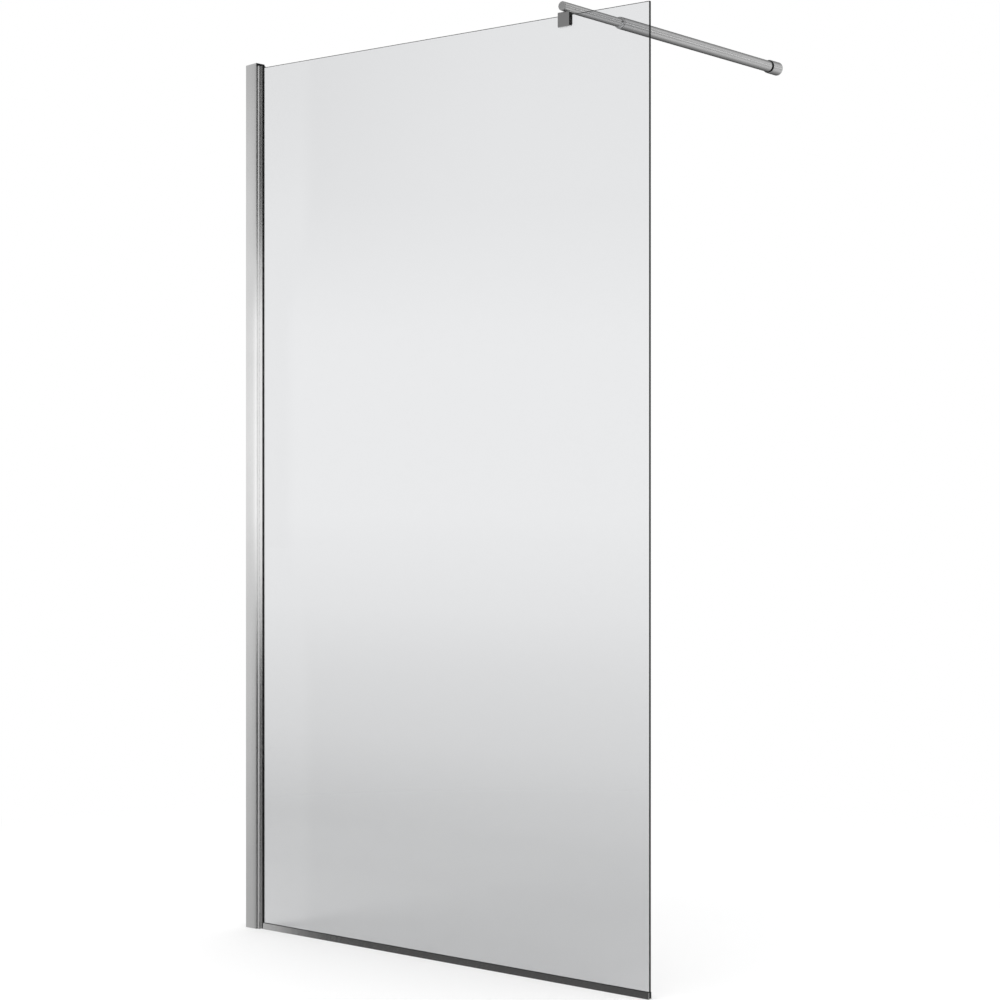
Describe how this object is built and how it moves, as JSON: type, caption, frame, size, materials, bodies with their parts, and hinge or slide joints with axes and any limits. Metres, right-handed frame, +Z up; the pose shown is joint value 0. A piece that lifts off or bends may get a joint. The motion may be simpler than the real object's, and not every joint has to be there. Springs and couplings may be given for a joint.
{
  "type": "walk-in shower screen",
  "caption": "Fixed glass shower screen in a slim metal wall profile, with a floor strip and a telescopic metal stay that runs from a clamp on its top edge to the opposite wall.",
  "frame": {"origin": "on the wall face of the wall profile, in the middle of the glass thickness, at the floor", "axes": "+X from the wall along the glass to its free edge; +Y square to the glass, from the clamp along the stay to the far wall; +Z up"},
  "size_m": [1.1, 0.823, 1.9732],
  "materials": {
    "bright_aluminium": "polished bright anodised",
    "chrome": "polished chrome plate",
    "clear_glass": "clear toughened float glass, polished edges",
    "black_rubber": "smooth black rubber",
    "black_plastic": "fine matt moulded black plastic",
    "soft_liner": "soft extruded seal, dark grey",
    "nylon": "plain moulded nylon, dark",
    "steel": "plain stainless steel"
  },
  "bodies": {
    "wall_fixing": {"wall_profile": "bright_aluminium", "wall_profile_cap": "bright_aluminium", "adjusting_screws": "steel", "screw_covers": "chrome"},
    "panel": {"glazing_profile": "bright_aluminium", "glazing_profile_cap": "black_plastic", "front_gasket": "black_rubber", "rear_gasket": "black_rubber", "edge_blocks": "black_plastic", "glass_panel": "clear_glass", "floor_strip": "bright_aluminium", "strip_liner": "soft_liner", "setting_blocks": "black_plastic"},
    "clamp": {"clamp_body": "chrome", "front_pad": "black_rubber", "rear_pad": "black_rubber", "pressure_plate": "steel", "clamp_screws": "steel", "pivot_bolt": "steel", "pivot_washer": "nylon", "pivot_nut": "steel"},
    "inner_stay": {"stay_saddle": "chrome", "nut_seat": "nylon", "inner_tube": "chrome", "end_plug": "chrome", "tube_glide": "nylon"},
    "outer_stay": {"outer_tube": "chrome", "guide_ring": "chrome", "tube_lock_screw": "steel", "wall_base": "chrome", "base_screw": "steel"},
    "cover_sleeve": {"wall_rosette": "chrome", "rosette_seal": "black_rubber"}
  },
  "joints": [
    {"name": "panel_adjust", "type": "slide", "parent": "wall_fixing", "child": "panel", "axis": [1, 0, 0], "range_m": [-0.008, 0.01]},
    {"name": "clamp_slide", "type": "slide", "parent": "panel", "child": "clamp", "axis": [1, 0, 0], "range_m": [-0.12, 0.12]},
    {"name": "stay_swivel", "type": "hinge", "parent": "clamp", "child": "inner_stay", "pos_m": [0.898, 0, 1.958], "axis": [0, 0, -1], "range_deg": [-45, 90]},
    {"name": "stay_telescope", "type": "slide", "parent": "inner_stay", "child": "outer_stay", "axis": [0, 1, 0], "range_m": [-0.15, 0.2]},
    {"name": "cover_slide", "type": "slide", "parent": "outer_stay", "child": "cover_sleeve", "axis": [0, -1, 0], "range_m": [0, 0.06]}
  ]
}
